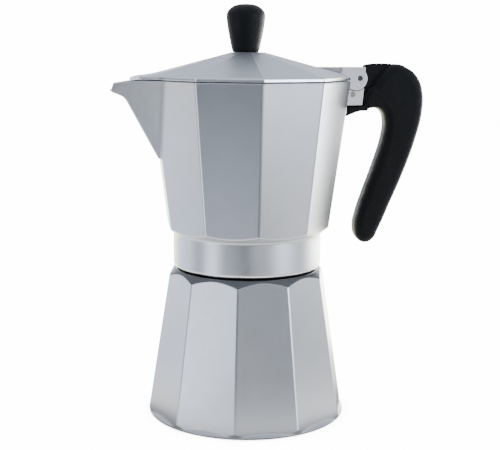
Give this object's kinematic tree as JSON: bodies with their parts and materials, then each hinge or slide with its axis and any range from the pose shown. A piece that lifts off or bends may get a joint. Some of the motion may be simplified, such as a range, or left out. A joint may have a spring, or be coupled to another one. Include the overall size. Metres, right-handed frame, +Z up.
{
  "type": "moka pot",
  "caption": "Stove-top moka pot: faceted aluminium boiler screwed under a spouted collector, hinged lid with knob, black side handle, funnel, filters and safety valve.",
  "frame": {"origin": "centre of the underside, on the axis of the boiler and collector", "axes": "+Z up, +X towards the handle, -X towards the spout"},
  "size_m": [0.1644, 0.1092, 0.2148],
  "materials": {
    "cast_aluminium": "satin cast and polished",
    "turned_aluminium": "turned",
    "black_plastic": "matte black phenolic",
    "steel": "plain",
    "brass": "turned",
    "rubber": "pale matte",
    "fibre": "matte red fibre"
  },
  "bodies": {
    "boiler": {"boiler": "cast_aluminium", "valve_body": "brass", "valve_washer": "fibre", "valve_cap": "brass", "valve_spring": "steel", "funnel": "turned_aluminium", "funnel_filter": "turned_aluminium"},
    "filter": {"filter_plate": "turned_aluminium", "gasket": "rubber"},
    "collector": {"collector": "cast_aluminium", "column": "cast_aluminium", "handle": "black_plastic", "hinge_pin": "steel", "handle_pin": "steel"},
    "lid": {"lid": "cast_aluminium", "knob": "black_plastic", "knob_insert": "brass", "knob_washer": "steel", "knob_screw": "steel"},
    "valve_stem": {"valve_stem": "steel"}
  },
  "joints": [
    {"name": "collector_rise", "type": "slide", "parent": "boiler", "child": "filter", "axis": [0, 0, 1], "range_m": [0, 0.009]},
    {"name": "collector_turn", "type": "hinge", "parent": "filter", "child": "collector", "pos_m": [0, 0, 0.1762], "axis": [0, 0, 1], "range_deg": [0, 1080]},
    {"name": "lid_hinge", "type": "hinge", "parent": "collector", "child": "lid", "pos_m": [0.058, 0, 0.1773], "axis": [0, 1, 0], "range_deg": [0, 100]},
    {"name": "valve_lift", "type": "slide", "parent": "boiler", "child": "valve_stem", "axis": [-0.075, 0.9864, 0.1461], "range_m": [0, 0.0012], "stiffness_N_per_m": 600, "springref_m": -0.003, "deforming": ["valve_spring"]}
  ],
  "couplings": [
    {"joint": "collector_rise", "follows": "collector_turn", "m_per_rad": 0.000477}
  ]
}
